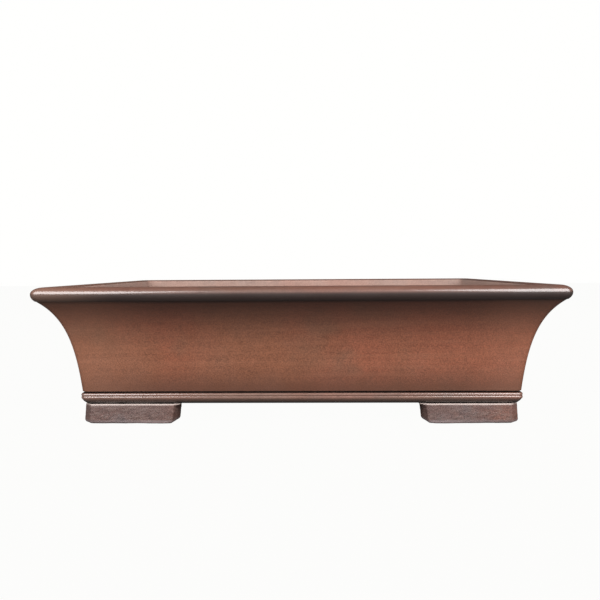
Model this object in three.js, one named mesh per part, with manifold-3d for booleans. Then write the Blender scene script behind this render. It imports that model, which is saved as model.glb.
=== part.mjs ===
// Rectangular bonsai pot, slab built in unglazed purple-brown clay.
// Every slab, strip, foot and seam coil is its own solid, luted to its neighbours.
// Millimetres. X runs along the length, -Y is the front, +Z is up.
// The origin is in the middle of the plan, on the plane the feet stand on.
import * as THREE from 'three';
import { mergeVertices } from 'three/addons/utils/BufferGeometryUtils.js';
import { ParametricGeometry } from 'three/addons/geometries/ParametricGeometry.js';
import Module from 'manifold-3d';

const wasm = await Module();
wasm.setup();

// Overall sizes, over the lip.
const potLength = 400;
const potWidth = 290;
const potHeight = 108.5;
// Thickness of the clay joint between two luted pieces.
const joint = 0.3;

// Lip: a strip with a round nose that hangs out over the cove.
const lipHeight = 10.5;
const lipWidth = 15;
const lipNoseRadius = 5.3;
const lipUnderInset = 2.5;
const lipCrownWidth = 7.5;
const lipCrownFullness = 0.6;
const lipInnerRound = 2.5;
const lipCornerRadius = 6;

// Walls: a steep draft that sweeps out into a cove under the lip.
// Insets are measured from the lip's outermost line.
const wallTopInset = 3.3;
const wallFootInset = 27.5;
const wallThickness = 8.5;
const wallCornerRadius = 3.4;
const wallInnerCornerRadius = 1;
const coveReach = 20;
const coveAngle = 50;
const draftReach = 36;
const draftAngle = 5.5;

// Belt: a half-round strip that hides the joint of wall and floor. It stands
// proud of the foot of the wall.
const beltProud = 0.8;
const beltInset = wallFootInset - beltProud;
const beltWidth = 4.3;
const beltUndercut = 3.2;
const beltTopRound = 1.1;
const beltCornerRadius = 4;

// Floor slab, with two drainage holes and four holes for the tie-down wires.
const floorThickness = 9.4;
const drainDiameter = 28;
const drainSpacing = 160;
const wireHoleDiameter = 5;
const wireHoleSpacingX = 230;
const wireHoleSpacingY = 96;

// Feet: an L of two legs on each corner, cut back slantwise at the inner ends
// and set back under the belt.
const footHeight = 15.8;
const footSetback = 1.7;
const footTopInset = beltInset + footSetback;
const footFlare = 1;
const footThickness = 17;
const footLegX = 71;
const footLegY = 56;
const footEndPlanAngle = 11;
const footEndSlope = 6;
const footEdgeRound = 3.2;
const footTopRound = 0.8;
const footCornerRadius = 6;
const footInnerRadius = 2;

// Coils of clay pressed into the inner seams.
const floorCoilRadius = 6;
const cornerCoilRadius = 9;
const cornerCoilBite = 0.6;

// Fineness of the curves.
const cornerSteps = 5;
const coveSteps = 20;
const noseSteps = 8;
const smallSteps = 4;
const drainSteps = 36;
const wireHoleSteps = 14;

// Levels that follow from the sizes above.
const floorBottom = footHeight + joint;
const floorTop = floorBottom + floorThickness;
const wallBottom = floorTop + joint;
const lipBottom = potHeight - lipHeight;
const wallTop = lipBottom - joint;

const wallClay = new THREE.MeshStandardMaterial({ color: 0x7d4f3b, roughness: 0.45, metalness: 0 });
const footClay = new THREE.MeshStandardMaterial({ color: 0x6f5450, roughness: 0.7, metalness: 0 });
const innerClay = new THREE.MeshStandardMaterial({ color: 0x8a6a5c, roughness: 0.8, metalness: 0 });

const pot = new THREE.Group();

function radians(degrees) {
  return THREE.MathUtils.degToRad(degrees);
}

// A closed geometry as a solid that can be cut and joined.
function toSolid(geometry) {
  const bare = geometry.clone();
  bare.deleteAttribute('normal');
  bare.deleteAttribute('uv');
  const merged = mergeVertices(bare, 1e-4);
  return new wasm.Manifold(new wasm.Mesh({
    numProp: 3,
    vertProperties: new Float32Array(merged.attributes.position.array),
    triVerts: new Uint32Array(merged.index.array),
  }));
}

function toGeometry(solid) {
  const mesh = solid.getMesh();
  const geometry = new THREE.BufferGeometry();
  geometry.setAttribute('position', new THREE.BufferAttribute(mesh.vertProperties, 3));
  geometry.setIndex(new THREE.BufferAttribute(mesh.triVerts, 1));
  geometry.computeVertexNormals();
  return geometry;
}

function addPiece(name, geometry, material) {
  const mesh = new THREE.Mesh(geometry, material);
  mesh.name = name;
  pot.add(mesh);
}

// Point number `step` of the round-cornered rectangle that lies `inset` inside
// the lip's outermost line, counter-clockwise from the +X side.
function planPoint(inset, radius, step) {
  const perCorner = cornerSteps + 1;
  const corner = Math.floor(step / perCorner) % 4;
  const angle = (corner + (step % perCorner) / cornerSteps) * Math.PI / 2;
  const signX = corner === 0 || corner === 3 ? 1 : -1;
  const signY = corner < 2 ? 1 : -1;
  const x = signX * (potLength / 2 - inset - radius) + radius * Math.cos(angle);
  const y = signY * (potWidth / 2 - inset - radius) + radius * Math.sin(angle);
  return new THREE.Vector2(x, y);
}

// A section carried round the whole pot. Each section point has an inset, a
// height z and the plan radius its line turns the corners with. The section
// runs up the outside, over the top and down the inside.
function ring(section) {
  const around = 4 * (cornerSteps + 1);
  const geometry = new ParametricGeometry((u, v, target) => {
    const point = section[Math.round(v * section.length) % section.length];
    const plan = planPoint(point.inset, point.radius, Math.round(u * around) % around);
    target.set(plan.x, plan.y, point.z);
  }, around, section.length);
  return toSolid(geometry);
}

function sectionPoint(inset, z, radius) {
  return { inset, z, radius };
}

// Points of a curve in the section plane, its x the inset and its y the height.
function alongCurve(curve, steps, radiusAt) {
  return curve.getPoints(steps).map((p) => sectionPoint(p.x, p.y, radiusAt(p.x)));
}

function arc(centreInset, centreZ, radius, fromDegrees, toDegrees) {
  const clockwise = toDegrees < fromDegrees;
  return new THREE.EllipseCurve(
    centreInset, centreZ, radius, radius, radians(fromDegrees), radians(toDegrees), clockwise);
}

// The line of a wall face, from its foot up to its top.
function wallCurve(footInset, topInset) {
  return new THREE.CubicBezierCurve(
    new THREE.Vector2(footInset, wallBottom),
    new THREE.Vector2(
      footInset - draftReach * Math.sin(radians(draftAngle)),
      wallBottom + draftReach * Math.cos(radians(draftAngle))),
    new THREE.Vector2(
      topInset + coveReach * Math.sin(radians(coveAngle)),
      wallTop - coveReach * Math.cos(radians(coveAngle))),
    new THREE.Vector2(topInset, wallTop));
}

const outerWall = wallCurve(wallFootInset, wallTopInset);
const innerWall = wallCurve(wallFootInset + wallThickness, lipWidth);

function wallSection() {
  const outside = alongCurve(outerWall, coveSteps, () => wallCornerRadius);
  const inside = alongCurve(innerWall, coveSteps, () => wallInnerCornerRadius);
  return [...outside, ...inside.reverse()];
}

function lipSection() {
  const radiusAt = (inset) => Math.max(lipCornerRadius - inset, lipInnerRound);
  const noseZ = potHeight - lipNoseRadius;
  const noseDrop = noseZ - lipBottom;
  const underRadius = (lipUnderInset ** 2 + noseDrop ** 2) / (2 * lipUnderInset);
  const startDegrees = 180 + 2 * THREE.MathUtils.radToDeg(Math.atan2(lipUnderInset, noseDrop));
  const nose = alongCurve(arc(underRadius, noseZ, underRadius, startDegrees, 180), noseSteps, radiusAt);
  const crown = alongCurve(new THREE.CubicBezierCurve(
    new THREE.Vector2(0, noseZ),
    new THREE.Vector2(0, noseZ + lipNoseRadius * lipCrownFullness),
    new THREE.Vector2(lipCrownWidth * (1 - lipCrownFullness), potHeight),
    new THREE.Vector2(lipCrownWidth, potHeight)), noseSteps, radiusAt);
  const innerEdge = alongCurve(
    arc(lipWidth - lipInnerRound, potHeight - lipInnerRound, lipInnerRound, 90, 0), smallSteps, radiusAt);
  return [...nose, ...crown.slice(1), ...innerEdge, sectionPoint(lipWidth, lipBottom, radiusAt(lipWidth))];
}

function beltSection() {
  const inner = beltInset + beltWidth;
  const radiusAt = (inset) => Math.max(beltCornerRadius - (inset - beltInset), wallInnerCornerRadius);
  const underside = alongCurve(new THREE.CubicBezierCurve(
    new THREE.Vector2(beltInset + beltUndercut, floorBottom),
    new THREE.Vector2(beltInset + beltUndercut / 3, floorBottom + beltUndercut / 3),
    new THREE.Vector2(beltInset, floorBottom + floorThickness / 3),
    new THREE.Vector2(beltInset, floorBottom + floorThickness / 2)), noseSteps, radiusAt);
  const top = alongCurve(
    arc(beltInset + beltTopRound, floorTop - beltTopRound, beltTopRound, 180, 90), smallSteps, radiusAt);
  return [
    ...underside,
    ...top,
    sectionPoint(inner, floorTop, wallInnerCornerRadius),
    sectionPoint(inner, floorBottom, wallInnerCornerRadius),
  ];
}

function footSection() {
  const outer = footTopInset - footFlare;
  const innerInset = footTopInset + footThickness;
  const radiusAt = () => footCornerRadius;
  const bottom = alongCurve(
    arc(outer + footEdgeRound, footEdgeRound, footEdgeRound, 270, 180), smallSteps, radiusAt);
  const top = alongCurve(
    arc(footTopInset + footTopRound, footHeight - footTopRound, footTopRound, 180, 90), smallSteps, radiusAt);
  return [
    ...bottom,
    ...top,
    sectionPoint(innerInset, footHeight, footInnerRadius),
    sectionPoint(innerInset, 0, footInnerRadius),
  ];
}

// A coil in the seam of floor and wall: two flat sides and a hollow face.
function floorCoilSection() {
  const back = innerHeights(wallBottom, wallBottom + floorCoilRadius)
    .map((z) => sectionPoint(innerInsetAt(z) + joint, z, wallInnerCornerRadius));
  const centreInset = innerInsetAt(wallBottom) + joint + floorCoilRadius;
  const hollow = alongCurve(
    arc(centreInset, wallBottom + floorCoilRadius, floorCoilRadius, 180, 270), noseSteps,
    () => wallInnerCornerRadius);
  return [...back, ...hollow];
}

// Inset of the inner wall face at a height.
function innerInsetAt(z) {
  const points = innerWall.getPoints(coveSteps);
  const above = points.findIndex((p) => p.y >= z - 1e-9);
  if (above <= 0) {
    return points[0].x;
  }
  const low = points[above - 1];
  const high = points[above];
  return THREE.MathUtils.mapLinear(z, low.y, high.y, low.x, high.x);
}

// The heights at which the inner wall face bends between two levels, and the levels.
function innerHeights(bottom, top) {
  const bends = innerWall.getPoints(coveSteps).map((p) => p.y).filter((z) => z > bottom + joint && z < top - joint);
  return [bottom, ...bends, top];
}

// A plan outline drawn upright as a prism through the whole height.
function prism(points) {
  const shape = new THREE.Shape(points);
  const geometry = new THREE.ExtrudeGeometry(shape, { depth: 2 * potHeight, bevelEnabled: false });
  geometry.translate(0, 0, -potHeight / 2);
  return toSolid(geometry);
}

// The four mitred sectors of the plan. Neighbours stay one joint apart.
function mitreSector(side) {
  const halfX = potLength / 2 + joint;
  const halfY = potWidth / 2 + joint;
  const shift = joint / Math.SQRT2;
  const point = (x, y) => new THREE.Vector2(x, y);
  if (side === 'front' || side === 'back') {
    const sign = side === 'front' ? -1 : 1;
    return prism([
      point(-halfX, sign * (halfY + shift)),
      point(halfX, sign * (halfY + shift)),
      point(halfX - halfY, sign * shift),
      point(halfY - halfX, sign * shift),
    ]);
  }
  const sign = side === 'left' ? -1 : 1;
  return prism([
    point(sign * (halfX + shift), -halfY),
    point(sign * (halfX + shift), halfY),
    point(sign * (halfX - halfY + shift), 0),
  ]);
}

const sides = ['front', 'back', 'left', 'right'];

function addMitred(prefix, section, material) {
  const whole = ring(section);
  sides.forEach((side) => {
    addPiece(`${prefix}_${side}`, toGeometry(whole.intersect(mitreSector(side))), material);
  });
}

function addFloor() {
  const inset = beltInset + beltWidth + joint;
  const outline = [];
  for (let step = 0; step < 4 * (cornerSteps + 1); step += 1) {
    outline.push(planPoint(inset, wallInnerCornerRadius, step));
  }
  const shape = new THREE.Shape(outline);
  const hole = (x, y, diameter, steps) => {
    const circle = new THREE.EllipseCurve(x, y, diameter / 2, diameter / 2, 0, 2 * Math.PI, true);
    shape.holes.push(new THREE.Path(circle.getPoints(steps).slice(0, -1)));
  };
  [-1, 1].forEach((sx) => {
    hole(sx * drainSpacing / 2, 0, drainDiameter, drainSteps);
    [-1, 1].forEach((sy) => {
      hole(sx * wireHoleSpacingX / 2, sy * wireHoleSpacingY / 2, wireHoleDiameter, wireHoleSteps);
    });
  });
  const geometry = new THREE.ExtrudeGeometry(shape, { depth: floorThickness, bevelEnabled: false });
  geometry.translate(0, 0, floorBottom);
  addPiece('floor_slab', toGeometry(toSolid(geometry)), innerClay);
}

// The half space beyond a slanted plane that crosses the X axis at `start`.
// Going in by one unit of Y, or up by one unit of Z, moves it back by a tangent.
function beyondEnd(start, outerY) {
  const reach = potLength + potWidth;
  const block = new THREE.BoxGeometry(reach, 2 * reach, 2 * reach);
  const inward = Math.tan(radians(footEndPlanAngle));
  const upward = Math.tan(radians(footEndSlope));
  const shear = new THREE.Matrix4().set(
    1, inward, -upward, reach / 2 + start - inward * outerY + upward * footHeight / 2,
    0, 1, 0, 0,
    0, 0, 1, 0,
    0, 0, 0, 1);
  return block.applyMatrix4(shear);
}

function addFeet() {
  const outerX = potLength / 2 - footTopInset;
  const outerY = potWidth / 2 - footTopInset;
  const endOfLegX = beyondEnd(outerX - footLegX, outerY);
  const endOfLegY = beyondEnd(outerY - footLegY, outerX);
  // The same block with X and Y exchanged: turned a quarter, then mirrored.
  endOfLegY.rotateZ(Math.PI / 2).scale(-1, 1, 1);
  flipFaces(endOfLegY);
  const foot = toGeometry(ring(footSection()).intersect(toSolid(endOfLegX)).intersect(toSolid(endOfLegY)));
  [['front', -1], ['back', 1]].forEach(([endName, signY]) => {
    [['left', -1], ['right', 1]].forEach(([sideName, signX]) => {
      addMirrored(`foot_${endName}_${sideName}`, foot, footClay, signX, signY);
    });
  });
}

// A coil up each inner corner: the sliver between the sharp inner corner and
// the same outline drawn with a large corner radius.
function addCornerCoils() {
  const heights = innerHeights(wallBottom + floorCoilRadius + joint, wallTop);
  const band = (extra, radius, stretch) => {
    const face = heights.map((z) => sectionPoint(innerInsetAt(z) + joint + extra, z, radius));
    const below = { ...face[0], z: face[0].z - stretch };
    const above = { ...face[face.length - 1], z: face[face.length - 1].z + stretch };
    const outside = stretch > 0 ? [below, ...face, above] : face;
    const inside = outside.map((p) => sectionPoint(p.inset + cornerCoilRadius + stretch, p.z, wallInnerCornerRadius));
    return ring([...outside, ...inside.reverse()]);
  };
  const coils = band(0, wallInnerCornerRadius, 0).subtract(band(-cornerCoilBite, cornerCoilRadius, 1));
  const quarter = toSolid(new THREE.BoxGeometry(potLength, potWidth, 2 * potHeight)
    .translate(potLength / 2, potWidth / 2, potHeight));
  const coil = toGeometry(coils.intersect(quarter));
  [['front', -1], ['back', 1]].forEach(([endName, signY]) => {
    [['left', -1], ['right', 1]].forEach(([sideName, signX]) => {
      addMirrored(`corner_coil_${endName}_${sideName}`, coil, innerClay, signX, signY);
    });
  });
}

function flipFaces(geometry) {
  const index = geometry.index.array;
  for (let i = 0; i < index.length; i += 3) {
    [index[i + 1], index[i + 2]] = [index[i + 2], index[i + 1]];
  }
}

function addMirrored(name, geometry, material, signX, signY) {
  addPiece(name, geometry, material);
  pot.children[pot.children.length - 1].scale.set(signX, signY, 1);
}

addFloor();
addMitred('wall', wallSection(), wallClay);
addMitred('lip', lipSection(), wallClay);
addMitred('belt', beltSection(), wallClay);
addMitred('floor_coil', floorCoilSection(), innerClay);
addCornerCoils();
addFeet();

export default pot;
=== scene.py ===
import bpy
import math
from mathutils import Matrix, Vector
from mathutils.geometry import interpolate_bezier


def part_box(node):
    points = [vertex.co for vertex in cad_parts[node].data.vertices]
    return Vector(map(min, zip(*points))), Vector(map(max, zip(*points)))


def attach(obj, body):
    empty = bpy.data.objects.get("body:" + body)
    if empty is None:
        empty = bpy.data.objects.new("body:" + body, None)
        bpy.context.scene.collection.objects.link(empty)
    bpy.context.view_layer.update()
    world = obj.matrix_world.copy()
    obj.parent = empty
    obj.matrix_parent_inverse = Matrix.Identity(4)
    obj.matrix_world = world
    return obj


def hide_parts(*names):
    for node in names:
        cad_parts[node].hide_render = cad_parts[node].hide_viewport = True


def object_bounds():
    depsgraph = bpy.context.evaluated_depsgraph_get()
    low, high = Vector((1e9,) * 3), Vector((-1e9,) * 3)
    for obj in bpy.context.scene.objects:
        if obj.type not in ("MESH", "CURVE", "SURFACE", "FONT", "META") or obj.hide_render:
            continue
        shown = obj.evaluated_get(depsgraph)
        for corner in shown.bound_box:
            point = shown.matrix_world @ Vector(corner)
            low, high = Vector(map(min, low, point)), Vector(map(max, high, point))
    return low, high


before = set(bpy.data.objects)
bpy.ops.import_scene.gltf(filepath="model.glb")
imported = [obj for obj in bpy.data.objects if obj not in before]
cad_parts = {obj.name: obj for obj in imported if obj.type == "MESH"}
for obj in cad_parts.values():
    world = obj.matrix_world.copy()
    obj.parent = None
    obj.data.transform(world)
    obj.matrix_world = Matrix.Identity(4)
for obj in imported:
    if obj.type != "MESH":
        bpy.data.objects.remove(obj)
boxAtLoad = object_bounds()
halfLength, halfWidth, potTop = boxAtLoad[1]
print("pot loaded, %.0f mm long" % (halfLength * 2000))

scene = bpy.context.scene
scene.view_settings.view_transform = "Standard"


def deselectAll():
    if bpy.context.mode != "OBJECT":
        bpy.ops.object.mode_set(mode="OBJECT")
    bpy.ops.object.select_all(action="DESELECT")


def pickOnly(piece):
    deselectAll()
    piece.select_set(True)
    bpy.context.view_layer.objects.active = piece


def joinTo(whole, others):
    pickOnly(whole)
    for other in others:
        other.select_set(True)
    bpy.ops.object.join()


def pointOutwards(piece):
    pickOnly(piece)
    bpy.ops.object.mode_set(mode="EDIT")
    bpy.ops.mesh.select_all(action="SELECT")
    bpy.ops.mesh.normals_make_consistent(inside=False)
    bpy.ops.object.mode_set(mode="OBJECT")


def applyPlace():
    bpy.ops.object.transform_apply(location=True, rotation=True, scale=True)


# camera, a little above the rim and close to the front
camera = {
    "place": (0.0098, -0.580, 0.1215),
    "tiltDown": 3.02,
    "turnLeft": 1.17,
    "roll": 0.36,
    "lens": 35.9,
    "sensor": 36,
}
bpy.ops.object.camera_add(location=camera["place"])
potCamera = bpy.context.object
potCamera.name = "potCamera"
potCamera.rotation_euler = (
    math.radians(90 - camera["tiltDown"]), math.radians(camera["roll"]), math.radians(camera["turnLeft"]))
potCamera.data.lens = camera["lens"]
potCamera.data.sensor_width = camera["sensor"]
potCamera.data.clip_start = 0.01
scene.camera = potCamera
print("camera set")


# soft studio light: two tall boxes in front that shine, one overhead and one behind that only fill
lights = {
    "leftBox": {
        "place": (-0.73, -0.90, 0.70), "aim": (0, -0.1, 0.06),
        "size": (0.72, 0.85), "power": 20, "shines": True},
    "rightBox": {
        "place": (0.76, -0.89, 0.72), "aim": (0, -0.1, 0.06),
        "size": (0.72, 0.95), "power": 23, "shines": True},
    "overhead": {
        "place": (0, -0.3, 1.15), "aim": (0, -0.05, 0),
        "size": (1.1, 0.5), "power": 3.5, "shines": False},
    "rearBox": {
        "place": (0.2, 1.2, 0.6), "aim": (0, 0.1, 0.05),
        "size": (1.2, 0.7), "power": 9, "shines": False},
}
room = {"grey": (0.06, 0.06, 0.06, 1), "backdrop": (1, 1, 0.99, 1)}


def addSoftbox(name, values):
    bpy.ops.object.light_add(type="AREA", location=values["place"])
    lamp = bpy.context.object
    lamp.name = name
    lamp.data.shape = "RECTANGLE"
    lamp.data.size, lamp.data.size_y = values["size"]
    lamp.data.energy = values["power"]
    towards = Vector(values["aim"]) - Vector(values["place"])
    lamp.rotation_euler = towards.to_track_quat("-Z", "Y").to_euler()
    lamp.visible_glossy = values["shines"]


for boxName, boxValues in lights.items():
    addSoftbox(boxName, boxValues)

studioWorld = bpy.data.worlds.new("studioWorld")
studioWorld.use_nodes = True
scene.world = studioWorld
worldNodes = studioWorld.node_tree.nodes
worldLinks = studioWorld.node_tree.links
roomGlow = worldNodes["Background"]
roomGlow.inputs["Color"].default_value = room["grey"]
paleGlow = worldNodes.new("ShaderNodeBackground")
paleGlow.inputs["Color"].default_value = room["backdrop"]
seenOrNot = worldNodes.new("ShaderNodeMixShader")
eyeRay = worldNodes.new("ShaderNodeLightPath")
worldLinks.new(eyeRay.outputs["Is Camera Ray"], seenOrNot.inputs["Fac"])
worldLinks.new(roomGlow.outputs["Background"], seenOrNot.inputs[1])
worldLinks.new(paleGlow.outputs["Background"], seenOrNot.inputs[2])
worldLinks.new(seenOrNot.outputs["Shader"], worldNodes["World Output"].inputs["Surface"])

# pale table top, bright enough to run into the backdrop
studioFloor = {
    "size": 8, "drop": 0.0002, "paper": (0.08, 0.08, 0.078, 1), "rough": 0.9, "glow": (1, 1, 0.99, 1),
    "glowShare": 0.97,
}
bpy.ops.mesh.primitive_plane_add(
    size=studioFloor["size"], location=(0, 0, boxAtLoad[0][2] - studioFloor["drop"]))
tableTop = bpy.context.object
tableTop.name = "tableTop"
tablePaper = bpy.data.materials.new("tablePaper")
tablePaper.use_nodes = True
paperNodes = tablePaper.node_tree.nodes
paperLinks = tablePaper.node_tree.links
paperShader = paperNodes["Principled BSDF"]
paperShader.inputs["Base Color"].default_value = studioFloor["paper"]
paperShader.inputs["Roughness"].default_value = studioFloor["rough"]
paperGlow = paperNodes.new("ShaderNodeEmission")
paperGlow.inputs["Color"].default_value = studioFloor["glow"]
paperSeen = paperNodes.new("ShaderNodeLightPath")
paperShare = paperNodes.new("ShaderNodeMath")
paperShare.operation = "MULTIPLY"
paperShare.inputs[1].default_value = studioFloor["glowShare"]
paperMix = paperNodes.new("ShaderNodeMixShader")
paperLinks.new(paperSeen.outputs["Is Camera Ray"], paperShare.inputs[0])
paperLinks.new(paperShare.outputs["Value"], paperMix.inputs["Fac"])
paperLinks.new(paperShader.outputs["BSDF"], paperMix.inputs[1])
paperLinks.new(paperGlow.outputs["Emission"], paperMix.inputs[2])
paperLinks.new(paperMix.outputs["Shader"], paperNodes["Material Output"].inputs["Surface"])
tableTop.data.materials.append(tablePaper)
print("light and table set")


# clay, built from shared node groups; a pattern's scale is about one over its size in metres
clayScale = {
    "redPatches": 8, "dullPatches": 19, "clouding": 120, "grains": 950,
    "tooth": 1100, "dents": 60, "pits": 420, "sheen": 45,
}


def feed(links, source, socket):
    # a source is another node's output or a plain value
    if hasattr(source, "is_linked"):
        links.new(source, socket)
    else:
        socket.default_value = source


def mixColours(nodes, links, factor, first, second, blend="MIX"):
    mixer = nodes.new("ShaderNodeMix")
    mixer.data_type = "RGBA"
    mixer.blend_type = blend
    # on colours its factor is input 0, its two colours are 6 and 7, and its result is output 2
    for place, source in ((0, factor), (6, first), (7, second)):
        feed(links, source, mixer.inputs[place])
    return mixer.outputs[2]


def spreadRange(nodes, links, source, low, high, toLow=0.0, toHigh=1.0):
    spread = nodes.new("ShaderNodeMapRange")
    spread.interpolation_type = "SMOOTHSTEP"
    links.new(source, spread.inputs["Value"])
    for name, value in (("From Min", low), ("From Max", high), ("To Min", toLow), ("To Max", toHigh)):
        spread.inputs[name].default_value = value
    return spread.outputs["Result"]


def addNoise(nodes, links, where, scale, detail=4.0, rough=0.55):
    noise = nodes.new("ShaderNodeTexNoise")
    noise.inputs["Scale"].default_value = scale
    noise.inputs["Detail"].default_value = detail
    noise.inputs["Roughness"].default_value = rough
    links.new(where, noise.inputs["Vector"])
    return noise.outputs["Fac"]


def workOut(nodes, links, first, second, how="ADD"):
    maths = nodes.new("ShaderNodeMath")
    maths.operation = how
    for socket, source in zip(maths.inputs, (first, second)):
        feed(links, source, socket)
    return maths.outputs["Value"]


def startGroup(name, inputs, output):
    # inputs are (name, kind, value), all but the vector and the colours with a value
    group = bpy.data.node_groups.new(name, "ShaderNodeTree")
    for inputName, kind, value in inputs:
        socket = group.interface.new_socket(name=inputName, socket_type="NodeSocket" + kind, in_out="INPUT")
        if value is not None:
            socket.default_value = value
    group.interface.new_socket(name=output[0], socket_type="NodeSocket" + output[1], in_out="OUTPUT")
    given = group.nodes.new("NodeGroupInput")
    result = group.nodes.new("NodeGroupOutput")
    return group, group.nodes, group.links, given.outputs, result.inputs


def buildFiredColour():
    # body colour with kiln patches, clouding and fine specks
    group, nodes, links, given, result = startGroup("firedColour", (
        ("Vector", "Vector", None), ("Body", "Color", None), ("Redder", "Color", None),
        ("Duller", "Color", None), ("Speck", "Float", 0.1)), ("Colour", "Color"))
    where = given["Vector"]
    redPatch = spreadRange(
        nodes, links, addNoise(nodes, links, where, clayScale["redPatches"], 2), 0.42, 0.66)
    dullPatch = spreadRange(
        nodes, links, addNoise(nodes, links, where, clayScale["dullPatches"], 4), 0.48, 0.75)
    clouding = spreadRange(
        nodes, links, addNoise(nodes, links, where, clayScale["clouding"], 5, 0.6), 0.3, 0.7, 0.93, 1.07)
    grains = spreadRange(
        nodes, links, addNoise(nodes, links, where, clayScale["grains"], 2), 0.25, 0.75, -1.0, 1.0)
    tinted = mixColours(nodes, links, redPatch, given["Body"], given["Redder"])
    tinted = mixColours(nodes, links, dullPatch, tinted, given["Duller"])
    lightness = workOut(nodes, links, workOut(nodes, links, grains, given["Speck"], "MULTIPLY"), clouding)
    shade = nodes.new("ShaderNodeCombineColor")
    for channel in ("Red", "Green", "Blue"):
        links.new(lightness, shade.inputs[channel])
    links.new(mixColours(nodes, links, 1.0, tinted, shade.outputs["Color"], "MULTIPLY"), result["Colour"])
    return group


def buildClayGrain():
    # height of the fine tooth, the soft dents of the hand and the odd pit
    group, nodes, links, given, result = startGroup("clayGrain", (
        ("Vector", "Vector", None), ("Tooth", "Float", 0.5), ("Dents", "Float", 0.5),
        ("Pits", "Float", 0.3), ("Strokes", "Float", 0.0)), ("Height", "Float"))
    where = given["Vector"]
    pitCells = nodes.new("ShaderNodeTexVoronoi")
    pitCells.inputs["Scale"].default_value = clayScale["pits"]
    links.new(where, pitCells.inputs["Vector"])
    height = given["Strokes"]
    for source, amount in (
            (addNoise(nodes, links, where, clayScale["tooth"], 3), "Tooth"),
            (addNoise(nodes, links, where, clayScale["dents"], 4), "Dents"),
            (spreadRange(nodes, links, pitCells.outputs["Distance"], 0.1, 0.22), "Pits")):
        height = workOut(nodes, links, height, workOut(nodes, links, source, given[amount], "MULTIPLY"))
    links.new(height, result["Height"])
    return group


def buildToolStrokes():
    # long thin marks of a drawn rib or a cutting wire
    group, nodes, links, given, result = startGroup("toolStrokes", (
        ("Vector", "Vector", None), ("Lean", "Vector", (0.1, 0.1, 0)),
        ("Stretch", "Vector", (30, 30, 400))), ("Strokes", "Float"))
    leaned = nodes.new("ShaderNodeVectorRotate")
    leaned.rotation_type = "EULER_XYZ"
    links.new(given["Vector"], leaned.inputs["Vector"])
    links.new(given["Lean"], leaned.inputs["Rotation"])
    stretched = nodes.new("ShaderNodeVectorMath")
    stretched.operation = "MULTIPLY"
    links.new(leaned.outputs["Vector"], stretched.inputs[0])
    links.new(given["Stretch"], stretched.inputs[1])
    marks = addNoise(nodes, links, stretched.outputs["Vector"], 1, 3, 0.6)
    links.new(spreadRange(nodes, links, marks, 0.42, 0.68), result["Strokes"])
    return group


def buildFadeBand():
    # full at one distance along a direction, gone at another
    group, nodes, links, given, result = startGroup("fadeBand", (
        ("Vector", "Vector", None), ("Along", "Vector", (0, 0, 1)),
        ("Full", "Float", 0.0), ("Gone", "Float", 0.01),
        ("Amount", "Float", 1.0)), ("Mask", "Float"))
    distance = nodes.new("ShaderNodeVectorMath")
    distance.operation = "DOT_PRODUCT"
    links.new(given["Vector"], distance.inputs[0])
    links.new(given["Along"], distance.inputs[1])
    fade = nodes.new("ShaderNodeMapRange")
    fade.interpolation_type = "SMOOTHSTEP"
    links.new(distance.outputs["Value"], fade.inputs["Value"])
    links.new(given["Full"], fade.inputs["From Min"])
    links.new(given["Gone"], fade.inputs["From Max"])
    fade.inputs["To Min"].default_value = 1
    fade.inputs["To Max"].default_value = 0
    links.new(workOut(nodes, links, fade.outputs["Result"], given["Amount"], "MULTIPLY"), result["Mask"])
    return group


firedColour = buildFiredColour()
clayGrain = buildClayGrain()
toolStrokes = buildToolStrokes()
fadeBand = buildFadeBand()
upwards = (0, 0, 1)
lengthwise = (1, 0, 0)
reliefDepth = 0.0004

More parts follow.
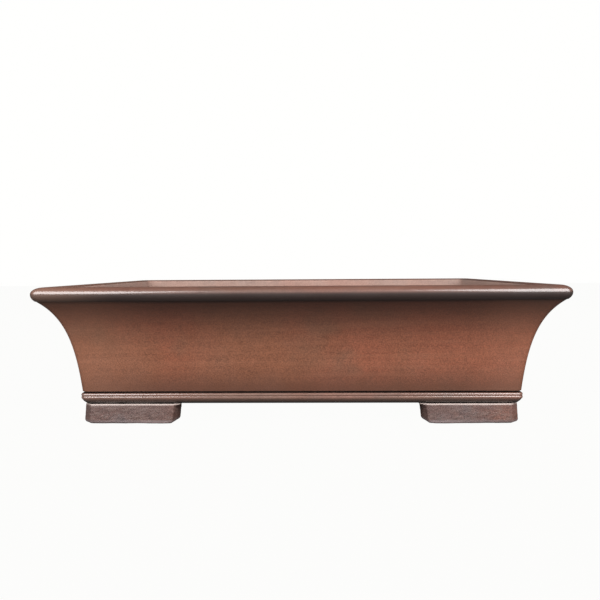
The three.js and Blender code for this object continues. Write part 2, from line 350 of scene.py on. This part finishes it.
# bands are (direction, full at, gone at, amount, tint); matt bands take the sheen off and have no tint
clays = {
    "wallClay": {
        "body": (0.182, 0.068, 0.036, 1),
        "redder": (0.204, 0.065, 0.035, 1),
        "duller": (0.153, 0.066, 0.038, 1),
        "dust": (0.28, 0.115, 0.065, 1), "dustAmount": 0.2,
        "speck": 0.3, "tooth": 0.7, "dents": 0.3, "pits": 0.1, "bump": 0.35,
        "rough": (0.42, 0.52), "coat": 0.0, "coatRough": 0.2, "mattBands": (),
        "lean": (0.01, 0.015, 0), "stretch": (7, 7, 330), "cut": 0.12,
        "bands": (
            (upwards, 0.024, 0.05, 0.85, (0.08, 0.031, 0.018, 1)),  # painted shade, darker towards the belt
            (upwards, 0.1, 0.058, 0.8, (0.05, 0.022, 0.016, 1)),  # painted shade up the cove, under the lip's overhang
            (upwards, 0.0976, 0.0955, 0.8, (0.02, 0.01, 0.008, 1)),  # painted shadow in the crease under the lip
            (upwards, 0.0258, 0.0265, 0.9, (0.02, 0.009, 0.007, 1)),  # painted shadow in the groove over the belt
            (lengthwise, -0.17, -0.1, 0.2, (0.33, 0.15, 0.09, 1)),  # painted light, a paler left end
            (lengthwise, 0.17, 0.12, 0.15, (0.33, 0.15, 0.09, 1))),  # painted light, a paler right end
    },
    "lipClay": {
        "body": (0.1, 0.047, 0.033, 1),
        "redder": (0.115, 0.046, 0.031, 1),
        "duller": (0.083, 0.047, 0.036, 1),
        "dust": (0.2, 0.12, 0.09, 1), "dustAmount": 0.15,
        "speck": 0.12, "tooth": 0.4, "dents": 0.02, "pits": 0.1, "bump": 0.1,
        "rough": (0.46, 0.56), "coat": 1.0, "coatRough": 0.16,
        "mattBands": (
            (upwards, 0.1083, 0.1066, 0.85),  # rubbed on top
            (upwards, 0.1005, 0.103, 0.7)),  # sheltered below
        "lean": (0.01, 0.01, 0), "stretch": (9, 9, 300), "cut": 0.1,
        "bands": (
            (upwards, 0.1024, 0.1054, 0.96, (0.022, 0.012, 0.01, 1)),  # painted shade, darker on the lip's downward-facing underside
            (lengthwise, -0.19, -0.13, 0.35, (0.2, 0.11, 0.075, 1))),  # painted light, a paler left end
    },
    "beltClay": {
        "body": (0.15, 0.08, 0.06, 1),
        "redder": (0.17, 0.078, 0.056, 1),
        "duller": (0.12, 0.076, 0.06, 1),
        "dust": (0.24, 0.15, 0.11, 1), "dustAmount": 0.2,
        "speck": 0.1, "tooth": 0.4, "dents": 0.15, "pits": 0.1, "bump": 0.14,
        "rough": (0.42, 0.5), "coat": 1.0, "coatRough": 0.11, "mattBands": (),
        "lean": (0.01, 0.01, 0), "stretch": (9, 9, 300), "cut": 0.1,
        "bands": (
            (upwards, 0.0174, 0.0208, 0.9, (0.035, 0.018, 0.013, 1)),  # painted shade on the low bead, which faces down
            (upwards, 0.0165, 0.0176, 0.95, (0.012, 0.007, 0.006, 1)),  # painted shadow between the belt and the feet
            (upwards, 0.0245, 0.0241, 0.95, (0.02, 0.011, 0.009, 1))),  # painted shadow in the groove on top
    },
    "innerClay": {
        "body": (0.265, 0.176, 0.146, 1),
        "redder": (0.285, 0.168, 0.135, 1),
        "duller": (0.24, 0.174, 0.15, 1),
        "dust": (0.42, 0.29, 0.235, 1), "dustAmount": 0.12,
        "speck": 0.14, "tooth": 0.8, "dents": 0.7, "pits": 0.4, "bump": 0.45,
        "rough": (0.68, 0.85), "coat": 0.0, "coatRough": 0.2, "mattBands": (),
        "lean": (0.05, 0.04, 0), "stretch": (30, 30, 120), "cut": 0.4,
        "bands": (),
    },
    "footClay": {
        "body": (0.096, 0.056, 0.049, 1),
        "redder": (0.125, 0.055, 0.04, 1),
        "duller": (0.078, 0.062, 0.064, 1),
        "dust": (0.2, 0.15, 0.13, 1), "dustAmount": 0.22,
        "speck": 0.4, "tooth": 1.1, "dents": 0.5, "pits": 0.5, "bump": 0.5,
        "rough": (0.42, 0.6), "coat": 0.1, "coatRough": 0.2, "mattBands": (),
        "lean": (0.16, 0.2, 0), "stretch": (130, 130, 420), "cut": 0.45,
        "bands": (
            (upwards, 0.0018, 0.0036, 0.45, (0.22, 0.18, 0.185, 1)),  # rubbed where it stands
            (upwards, 0.0152, 0.0141, 0.65, (0.5, 0.41, 0.37, 1)),  # painted highlight along the upper edge
            (upwards, 0.0158, 0.0154, 0.95, (0.015, 0.009, 0.008, 1))),  # painted shadow under the belt
    },
}


def placeGroup(nodes, links, group, where, values):
    placed = nodes.new("ShaderNodeGroup")
    placed.node_tree = group
    links.new(where, placed.inputs["Vector"])
    for name, value in values.items():
        placed.inputs[name].default_value = value
    return placed


def placeBand(nodes, links, where, along, full, gone, amount):
    return placeGroup(nodes, links, fadeBand, where, {
        "Along": along, "Full": full, "Gone": gone, "Amount": amount}).outputs["Mask"]


def makeClay(name):
    values = clays[name]
    clay = bpy.data.materials.new(name)
    clay.use_nodes = True
    nodes, links = clay.node_tree.nodes, clay.node_tree.links
    shader = nodes["Principled BSDF"]
    where = nodes.new("ShaderNodeTexCoord").outputs["Object"]
    # colour: the body, dust in the strokes, then the bands, mostly painted shade, shadow and light
    fired = placeGroup(nodes, links, firedColour, where, {
        "Body": values["body"], "Redder": values["redder"], "Duller": values["duller"],
        "Speck": values["speck"]})
    strokes = placeGroup(nodes, links, toolStrokes, where, {
        "Lean": values["lean"], "Stretch": values["stretch"]}).outputs["Strokes"]
    dusty = workOut(nodes, links, strokes, values["dustAmount"], "MULTIPLY")
    colour = mixColours(nodes, links, dusty, fired.outputs["Colour"], values["dust"])
    for *band, tint in values["bands"]:
        colour = mixColours(nodes, links, placeBand(nodes, links, where, *band), colour, tint)
    links.new(colour, shader.inputs["Base Color"])
    # relief
    grain = placeGroup(nodes, links, clayGrain, where, {
        "Tooth": values["tooth"], "Dents": values["dents"], "Pits": values["pits"]})
    links.new(workOut(nodes, links, strokes, values["cut"], "MULTIPLY"), grain.inputs["Strokes"])
    bump = nodes.new("ShaderNodeBump")
    bump.inputs["Strength"].default_value = values["bump"]
    bump.inputs["Distance"].default_value = reliefDepth
    links.new(grain.outputs["Height"], bump.inputs["Height"])
    links.new(bump.outputs["Normal"], shader.inputs["Normal"])
    # sheen
    patches = addNoise(nodes, links, where, clayScale["sheen"], 5)
    links.new(spreadRange(nodes, links, patches, 0.3, 0.7, *values["rough"]), shader.inputs["Roughness"])
    shader.inputs["Coat Roughness"].default_value = values["coatRough"]
    coat = values["coat"]
    for band in values["mattBands"]:
        coat = workOut(nodes, links, coat, placeBand(nodes, links, where, *band), "SUBTRACT")
    feed(links, coat, shader.inputs["Coat Weight"])
    return clay


wallClay, lipClay, beltClay, innerClay, footClay = (makeClay(name) for name in clays)
print("clays mixed")


# shaping helpers; profiles are lists of (inset from the pot's outline, height)
def bend(start, startPull, endPull, end, steps):
    points = interpolate_bezier(Vector(start), Vector(startPull), Vector(endPull), Vector(end), steps)
    return [(point[0], point[1]) for point in points]


def pullTo(angle, reach, fromPoint, direction):
    # a curve's handle, leaning out by the angle on its way up; direction is 1 up or -1 down
    turn = math.radians(angle)
    inset, height = fromPoint
    return (inset - direction * reach * math.sin(turn), height + direction * reach * math.cos(turn))


def sweepAround(name, profile, cornerRound, cornerCuts=8):
    # a rounded rectangle, drawn along the profile by extruding its edge and resizing it
    deselectAll()
    inset, height = profile[0]
    bpy.ops.mesh.primitive_plane_add(size=2, location=(0, 0, height))
    strip = bpy.context.object
    strip.name = name
    bpy.ops.object.mode_set(mode="EDIT")
    bpy.ops.transform.resize(value=(halfLength - inset, halfWidth - inset, 1))
    bpy.ops.mesh.bevel(offset=cornerRound, segments=cornerCuts, affect="VERTICES")
    bpy.ops.mesh.delete(type="ONLY_FACE")
    bpy.ops.mesh.select_all(action="SELECT")
    for nextInset, nextHeight in profile[1:]:
        bpy.ops.mesh.extrude_edges_move(TRANSFORM_OT_translate={"value": (0, 0, nextHeight - height)})
        wider = (halfLength - nextInset) / (halfLength - inset)
        deeper = (halfWidth - nextInset) / (halfWidth - inset)
        bpy.ops.transform.resize(value=(wider, deeper, 1))
        inset, height = nextInset, nextHeight
    bpy.ops.mesh.select_all(action="SELECT")
    bpy.ops.mesh.remove_doubles(threshold=0.000005)
    bpy.ops.mesh.normals_make_consistent(inside=False)
    bpy.ops.object.mode_set(mode="OBJECT")
    applyPlace()
    return strip


def selectWhere(piece, kind, wanted):
    # picks vertices or edges by their place, and stays in edit mode
    bpy.ops.object.mode_set(mode="EDIT")
    bpy.ops.mesh.select_mode(type=kind)
    bpy.ops.mesh.select_all(action="DESELECT")
    bpy.ops.object.mode_set(mode="OBJECT")
    mesh = piece.data
    if kind == "VERT":
        for vertex in mesh.vertices:
            vertex.select = wanted(vertex.co)
    else:
        for edge in mesh.edges:
            first, second = (mesh.vertices[i].co for i in edge.vertices)
            edge.select = wanted(first, second)
    bpy.ops.object.mode_set(mode="EDIT")


def smoothPiece(piece, angle=32):
    pickOnly(piece)
    bpy.ops.object.shade_smooth_by_angle(angle=math.radians(angle))


def finishPiece(piece, slotName, materials, *nodes):
    for material in materials:
        piece.data.materials.append(material)
    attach(piece, "root")
    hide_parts(*nodes)


def paintInside(piece, below=math.inf):
    # faces that look inwards, up to a height, take the second clay
    for face in piece.data.polygons:
        inward = face.normal.x * face.center.x + face.normal.y * face.center.y < 0
        face.material_index = 1 if inward and face.center.z < below else 0


sideNames = ("front", "back", "left", "right")
cornerNames = ("front_left", "front_right", "back_left", "back_right")

# walls, with the corner seams smeared in
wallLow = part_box("wall_front")[0][2]
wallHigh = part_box("wall_front")[1][2]
walls = {
    "footInset": 0.0275, "topInset": 0.0034, "thickness": 0.0085, "lipWidth": 0.015,
    "coveReach": 0.02, "coveAngle": 50, "draftReach": 0.036, "draftAngle": 5.5,
    "cornerRound": 0.0045, "innerCornerRound": 0.0085, "steps": 40,
    "joint": 0.0003, "footTuck": 0.0006, "topSwell": 0.0002,
}
rimStep = 0.0001


def wallLine(footInset, topInset):
    foot = (footInset, wallLow)
    top = (topInset, wallHigh)
    footPull = pullTo(walls["draftAngle"], walls["draftReach"], foot, 1)
    topPull = pullTo(walls["coveAngle"], walls["coveReach"], top, -1)
    return bend(foot, footPull, topPull, top, walls["steps"])


def buildWalls():
    # both lines run on through the joints, to the belt and to the lip
    low = wallLow - walls["joint"]
    high = wallHigh + walls["joint"]
    outerFoot = walls["footInset"]
    innerFoot = outerFoot + walls["thickness"]
    outerLine = [(outerFoot + walls["footTuck"], low)]
    outerLine += wallLine(outerFoot, walls["topInset"])
    outerLine += [(walls["topInset"] - walls["topSwell"], high)]
    # the inner loops end a hair short, as bridging two level loops would cap the pot
    innerLine = [(innerFoot, low + rimStep)]
    innerLine += wallLine(innerFoot, walls["lipWidth"])
    innerLine += [(walls["lipWidth"], high - rimStep)]
    outside = sweepAround("potWalls", outerLine, walls["cornerRound"])
    inside = sweepAround("potWallsInside", innerLine, walls["innerCornerRound"])
    joinTo(outside, [inside])
    lowEnd = low + rimStep * 1.5
    highEnd = high - rimStep * 1.5
    for atEnd in (lambda z: z < lowEnd, lambda z: z > highEnd):
        selectWhere(outside, "EDGE", lambda a, b: atEnd(a.z) and atEnd(b.z))
        bpy.ops.mesh.bridge_edge_loops()
    pointOutwards(outside)
    smoothPiece(outside)
    finishPiece(
        outside, "wall_clay", (wallClay, innerClay),
        *["wall_" + side for side in sideNames], *["corner_coil_" + corner for corner in cornerNames])
    paintInside(outside)


buildWalls()
print("walls raised")

# lip: an arc under the nose, a flattened crown and a round down to the inside
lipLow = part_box("lip_front")[0][2]
lip = {
    "width": walls["lipWidth"], "noseRadius": 0.0053, "underInset": 0.0025, "crownWidth": 0.0075,
    "fullness": 0.6, "innerRound": 0.0026, "innerPull": 0.45, "cornerRound": 0.006, "cornerCuts": 12,
    "noseSteps": 10, "crownSteps": 14, "innerSteps": 7, "innerClayUpTo": 0.6,
}


def buildLip():
    noseHeight = potTop - lip["noseRadius"]
    drop = noseHeight - lipLow
    # an arc centred level with the nose, which has come in by underInset where it meets the wall
    underRadius = (lip["underInset"] ** 2 + drop ** 2) / (2 * lip["underInset"])
    underAngle = 2 * math.atan2(lip["underInset"], drop)
    under = []
    for step in range(lip["noseSteps"] + 1):
        turn = -underAngle * (1 - step / lip["noseSteps"])
        under.append((underRadius * (1 - math.cos(turn)), noseHeight + underRadius * math.sin(turn)))
    crownStart = lip["crownWidth"] * (1 - lip["fullness"])
    crown = bend(
        (0, noseHeight), (0, noseHeight + lip["noseRadius"] * lip["fullness"]),
        (crownStart, potTop), (lip["crownWidth"], potTop), lip["crownSteps"])
    width, innerRound = lip["width"], lip["innerRound"]
    innerPull = innerRound * lip["innerPull"]
    inner = bend(
        (width - innerRound, potTop), (width - innerPull, potTop),
        (width, potTop - innerPull), (width, potTop - innerRound), lip["innerSteps"])
    profile = under + crown[1:] + inner + [(width, lipLow), under[0]]
    strip = sweepAround("lipStrip", profile, lip["cornerRound"], lip["cornerCuts"])
    smoothPiece(strip)
    finishPiece(strip, "wall_clay", (lipClay, innerClay), *["lip_" + side for side in sideNames])
    paintInside(strip, potTop - innerRound * lip["innerClayUpTo"])


buildLip()
print("lip laid on")

# belt at the base: two beads with a shallow valley between, rounding under to the feet
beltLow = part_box("belt_front")[0][2]
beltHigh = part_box("belt_front")[1][2]
belt = {
    "outInset": 0.0267, "valleyDepth": 0.0004, "topBead": 0.0026, "lowBead": 0.0027, "lowBeadInset": 0.0006,
    "grooveInset": 0.0283, "grooveDrop": 0.0009, "underInset": 0.0297, "backInset": 0.033,
    "cornerRound": 0.0042, "underSteps": 8, "lowSteps": 10, "topSteps": 14,
}


def buildBelt():
    outInset = belt["outInset"]
    bandTop = beltHigh - belt["grooveDrop"]
    groove = (belt["grooveInset"], bandTop)
    valley = (outInset + belt["valleyDepth"], bandTop - belt["topBead"])
    lowEnd = (outInset + belt["lowBeadInset"], valley[1] - belt["lowBead"])
    underStart = (belt["underInset"], beltLow)
    # the handles between these points are set to round each bead fully
    under = bend(
        underStart, (underStart[0] - 0.0008, underStart[1] + 0.0009),
        (lowEnd[0] + 0.0006, lowEnd[1] - 0.0014), lowEnd, belt["underSteps"])
    lowBead = bend(
        lowEnd, (outInset - 0.0002, lowEnd[1] + 0.001),
        (outInset - 0.0002, valley[1] - 0.0005), valley, belt["lowSteps"])
    topBead = bend(
        valley, (outInset - 0.0003, valley[1] + 0.0006),
        (outInset - 0.0003, bandTop - 0.0003), groove, belt["topSteps"])
    back = [(belt["backInset"], beltHigh), (belt["backInset"], beltLow)]
    profile = under + lowBead[1:] + topBead[1:] + back + under[:1]
    strip = sweepAround("beltStrip", profile, belt["cornerRound"])
    smoothPiece(strip, 50)
    finishPiece(strip, "wall_clay", (beltClay,), *["belt_" + side for side in sideNames])


buildBelt()
print("belt laid on")

# floor slab with its holes, and the coil smeared into the floor seam
floorLow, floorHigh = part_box("floor_slab")
floor = {
    "drainAcross": 0.028, "drainSpacing": 0.16, "wireAcross": 0.005, "wireSpacing": (0.23, 0.096),
    "rimRound": 0.0012, "drainCuts": 64, "wireCuts": 24,
}


def cutHole(slab, place, across, cuts):
    deselectAll()
    thick = floorHigh[2] - floorLow[2]
    middle = (place[0], place[1], floorLow[2] + thick / 2)
    bpy.ops.mesh.primitive_cylinder_add(vertices=cuts, radius=across / 2, depth=thick * 3, location=middle)
    drill = bpy.context.object
    pickOnly(slab)
    cut = slab.modifiers.new("hole", "BOOLEAN")
    cut.operation = "DIFFERENCE"
    cut.solver = "EXACT"
    cut.object = drill
    bpy.ops.object.modifier_apply(modifier="hole")
    bpy.data.objects.remove(drill, do_unlink=True)


def buildFloor():
    deselectAll()
    middle = [(low + high) / 2 for low, high in zip(floorLow, floorHigh)]
    bpy.ops.mesh.primitive_cube_add(size=1, location=middle)
    slab = bpy.context.object
    slab.name = "floorSlab"
    slab.scale = [high - low for low, high in zip(floorLow, floorHigh)]
    applyPlace()
    holes = []
    for side in (-1, 1):
        holes.append(((side * floor["drainSpacing"] / 2, 0), floor["drainAcross"], floor["drainCuts"]))
        for end in (-1, 1):
            place = (side * floor["wireSpacing"][0] / 2, end * floor["wireSpacing"][1] / 2)
            holes.append((place, floor["wireAcross"], floor["wireCuts"]))
    for place, across, cuts in holes:
        cutHole(slab, place, across, cuts)

    nearRim = 0.0002

    def byHole(point):
        return any(
            abs((Vector(place) - point.xy).length - across / 2) < nearRim
            for place, across, cuts in holes)

    def onRim(a, b):
        return abs(a.z - b.z) < 0.00001 and byHole(a) and byHole(b)

    selectWhere(slab, "EDGE", onRim)
    bpy.ops.mesh.bevel(offset=floor["rimRound"], segments=3, affect="EDGES")
    smoothPiece(slab, 40)
    finishPiece(slab, "inner_clay", (innerClay, footClay), "floor_slab")
    # the underside is as raw as the feet, and takes their painted shadow under the belt, which darkens all
    # of it
    for face in slab.data.polygons:
        face.material_index = 1 if face.center.z < floorLow[2] + floor["rimRound"] else 0


buildFloor()

floorSeam = {
    "reach": 0.0065, "climb": 0.0068, "sag": 0.4, "skin": 0.0002, "cornerRound": 0.0082, "steps": 10,
}


def buildFloorSeam():
    # a hollow fillet that starts just inside the wall and ends just inside the floor
    wallFoot = walls["footInset"] + walls["thickness"]
    top = floorHigh[2]
    reach, climb, sag, skin = (floorSeam[key] for key in ("reach", "climb", "sag", "skin"))
    leanBack = climb * math.tan(math.radians(walls["draftAngle"]))
    hollow = bend(
        (wallFoot - leanBack - skin, top + climb), (wallFoot + skin / 2, top + climb * sag),
        (wallFoot + reach * sag, top + skin), (wallFoot + reach, top - skin / 2), floorSeam["steps"])
    profile = hollow + [(wallFoot - skin * 5, top - skin * 2), hollow[0]]
    coil = sweepAround("floorSeam", profile, floorSeam["cornerRound"])
    smoothPiece(coil, 60)
    finishPiece(coil, "inner_clay", (innerClay,), *["floor_coil_" + side for side in sideNames])


buildFloorSeam()
print("floor laid and seams smeared")

# feet: one cut from a slab, copied to the other corners, each with its own hand marks
footLow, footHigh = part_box("foot_front_right")
foot = {
    "thickness": 0.017, "legX": 0.0725, "legY": 0.0575, "flare": 0.001,
    "endSlope": 6, "endPlan": 11, "cornerFacet": 0.0062, "facetRound": 0.0009, "endRound": 0.0013,
    "endBottomRound": 0.0024, "bottomRound": 0.0026, "topRound": 0.0011,
    "smearTall": 0.0028, "smearWide": 0.012, "smearReach": 0.0055, "smearRoot": 0.001,
    "smearThinning": 0.85,
    "grainSize": 0.00065, "wobble": 0.0006, "wobbleGrain": 0.014, "cutDepth": 0.00022, "cutGrain": 0.25,
    "cutStretch": (0.1, 0.1, 0.009), "cutLean": (0.12, 0.15, 0),
    "nudges": {
        "front_right": (-0.0012, 0, 0), "front_left": (0, 0, 0),
        "back_right": (0.0003, -0.0006, 0), "back_left": (0.0006, -0.0003, 0)},
}


def addSmear(end, out):
    # a little clay dragged along the slab from an inner end, thinning out
    tall, wide, reach, root = (foot[key] for key in ("smearTall", "smearWide", "smearReach", "smearRoot"))
    middle = reach / 2 - root
    deselectAll()
    bpy.ops.mesh.primitive_cube_add(
        size=1, location=(end[0] + out[0] * middle, end[1] + out[1] * middle, footHigh[2] - tall / 2))
    smear = bpy.context.object
    long = reach + root * 2
    smear.scale = (long if out[0] else wide, long if out[1] else wide, tall)
    applyPlace()

    def farAndLow(v):
        away = (v.x - end[0]) * out[0] + (v.y - end[1]) * out[1]
        return away > reach / 2 and v.z < footHigh[2] - tall / 2

    selectWhere(smear, "VERT", farAndLow)
    bpy.ops.transform.translate(value=(0, 0, tall * foot["smearThinning"]))
    bpy.ops.object.mode_set(mode="OBJECT")
    return smear


def buildFoot():
    outerX, outerY = footHigh[0], footLow[1]
    endX, endY = outerX - foot["legX"], outerY + foot["legY"]
    thick = foot["thickness"]
    tall = footHigh[2] - footLow[2]
    innerX, innerY = outerX - thick, outerY + thick
    # how close counts as being on a face, on an inner end, on the outer corner and on its facet
    near, nearEnd, nearCorner, nearFacet = 0.0002, 0.004, 0.002, 0.012
    deselectAll()
    bpy.ops.mesh.primitive_plane_add(
        size=thick, location=(outerX - thick / 2, outerY + thick / 2, footLow[2]))
    block = bpy.context.object
    block.name = "foot_front_right_clay"
    applyPlace()

    def shiftWhere(wanted, x, y):
        selectWhere(block, "VERT", wanted)
        bpy.ops.transform.translate(value=(x, y, 0))

    def bevelWhere(wanted, size, cuts):
        selectWhere(block, "EDGE", wanted)
        bpy.ops.mesh.bevel(offset=size, segments=cuts, affect="EDGES")

    def drawOut(wanted, x, y):
        selectWhere(block, "EDGE", wanted)
        bpy.ops.mesh.extrude_edges_move(TRANSFORM_OT_translate={"value": (x, y, 0)})

    def atX(v):
        return v.x < endX + nearEnd

    def atY(v):
        return v.y > endY - nearEnd

    def upright(a, b):
        return abs(a.z - b.z) > tall * 0.6

    def atCorner(a, b, reach):
        return min(a.x, b.x) > outerX - reach and max(a.y, b.y) < outerY + reach

    def lowAtEnd(a, b):
        return max(a.z, b.z) < footLow[2] + near and ((atX(a) and atX(b)) or (atY(a) and atY(b)))

    def lowElsewhere(a, b):
        clearOfEnds = min(a.x, b.x) > endX + nearEnd * 1.5 and max(a.y, b.y) < endY - nearEnd * 1.5
        return max(a.z, b.z) < footLow[2] + near and clearOfEnds

    # two legs drawn out from the corner square, then the whole L pulled up
    drawOut(lambda a, b: max(a.x, b.x) < innerX + near, thick - foot["legX"], 0)
    drawOut(
        lambda a, b: min(a.y, b.y) > innerY - near and max(a.x, b.x) > outerX - near,
        0, foot["legY"] - thick)
    bpy.ops.mesh.select_all(action="SELECT")
    bpy.ops.mesh.extrude_region_move(TRANSFORM_OT_translate={"value": (0, 0, tall)})
    bpy.ops.mesh.select_all(action="SELECT")
    bpy.ops.mesh.remove_doubles(threshold=0.00001)
    bpy.ops.mesh.normals_make_consistent(inside=False)
    bpy.ops.mesh.dissolve_limited(angle_limit=math.radians(1))
    # inner ends cut slanting, in plan and in height
    slope = math.tan(math.radians(foot["endSlope"])) * tall / 2
    back = math.tan(math.radians(foot["endPlan"])) * thick
    for side in (1, -1):
        shiftWhere(lambda v: atX(v) and (v.z - tall / 2) * side > 0, -slope * side, 0)
        shiftWhere(lambda v: atY(v) and (v.z - tall / 2) * side > 0, 0, slope * side)
    shiftWhere(lambda v: atX(v) and v.y > innerY - near, -back, 0)
    shiftWhere(lambda v: atY(v) and v.x < innerX + near, 0, back)
    # outer faces lean in towards the top
    shiftWhere(lambda v: v.x > outerX - near and v.z > tall / 2, -foot["flare"], 0)
    shiftWhere(lambda v: v.y < outerY + near and v.z > tall / 2, 0, foot["flare"])
    # a flat facet on the outer corner, then every edge eased
    bevelWhere(lambda a, b: upright(a, b) and atCorner(a, b, nearCorner), foot["cornerFacet"], 1)
    bevelWhere(lambda a, b: upright(a, b) and atCorner(a, b, nearFacet), foot["facetRound"], 2)
    bevelWhere(lambda a, b: upright(a, b) and (atX(a) or atY(a)), foot["endRound"], 3)
    bevelWhere(lowAtEnd, foot["endBottomRound"], 3)
    bevelWhere(lowElsewhere, foot["bottomRound"], 4)
    bevelWhere(lambda a, b: min(a.z, b.z) > footHigh[2] - near, foot["topRound"], 3)
    bpy.ops.object.mode_set(mode="OBJECT")
    smears = (
        addSmear((endX - slope, outerY + thick / 2), (-1, 0)),
        addSmear((outerX - thick / 2, endY + slope), (0, 1)))
    joinTo(block, smears)
    return block


def copyFoot(first, name, signX, signY):
    pickOnly(first)
    bpy.ops.object.duplicate()
    twin = bpy.context.object
    twin.name = name
    twin.scale = (signX, signY, 1)
    applyPlace()
    pointOutwards(twin)
    return twin


def displaceBy(block, name, grain, depth, stretch):
    # a clouds texture laid through a stretched empty, so that it can run in streaks
    deselectAll()
    bpy.ops.object.empty_add()
    guide = bpy.context.object
    guide.scale = stretch
    guide.rotation_euler = foot["cutLean"]
    texture = bpy.data.textures.new(name, "CLOUDS")
    texture.noise_scale = grain
    texture.noise_depth = 2
    pickOnly(block)
    marks = block.modifiers.new(name, "DISPLACE")
    marks.texture = texture
    marks.texture_coords = "OBJECT"
    marks.texture_coords_object = guide
    marks.strength = depth
    marks.mid_level = 0.5
    bpy.ops.object.modifier_apply(modifier=name)
    bpy.data.objects.remove(guide, do_unlink=True)


def markFoot(block, nudge):
    # each foot sits a touch differently and has its own marks
    pickOnly(block)
    bpy.ops.object.mode_set(mode="EDIT")
    bpy.ops.mesh.select_all(action="SELECT")
    bpy.ops.transform.translate(value=nudge)
    bpy.ops.object.mode_set(mode="OBJECT")
    remesh = block.modifiers.new("evenGrain", "REMESH")
    remesh.mode = "VOXEL"
    remesh.voxel_size = foot["grainSize"]
    bpy.ops.object.modifier_apply(modifier="evenGrain")
    displaceBy(block, "handMarks", foot["wobbleGrain"], foot["wobble"], (1, 1, 1))
    displaceBy(block, "wireMarks", foot["cutGrain"], foot["cutDepth"], foot["cutStretch"])
    # level again where it stands and where it meets the slab
    for vertex in block.data.vertices:
        vertex.co.z = min(max(vertex.co.z, footLow[2]), footHigh[2])
    bpy.ops.object.shade_smooth()


feet = {"front_right": buildFoot()}
for cornerName, signX, signY in (("front_left", -1, 1), ("back_right", 1, -1), ("back_left", -1, -1)):
    feet[cornerName] = copyFoot(feet["front_right"], "foot_" + cornerName + "_clay", signX, signY)
for cornerName, block in feet.items():
    markFoot(block, foot["nudges"][cornerName])
    finishPiece(block, "foot_clay", (footClay,), "foot_" + cornerName)
print("feet cut and luted on")
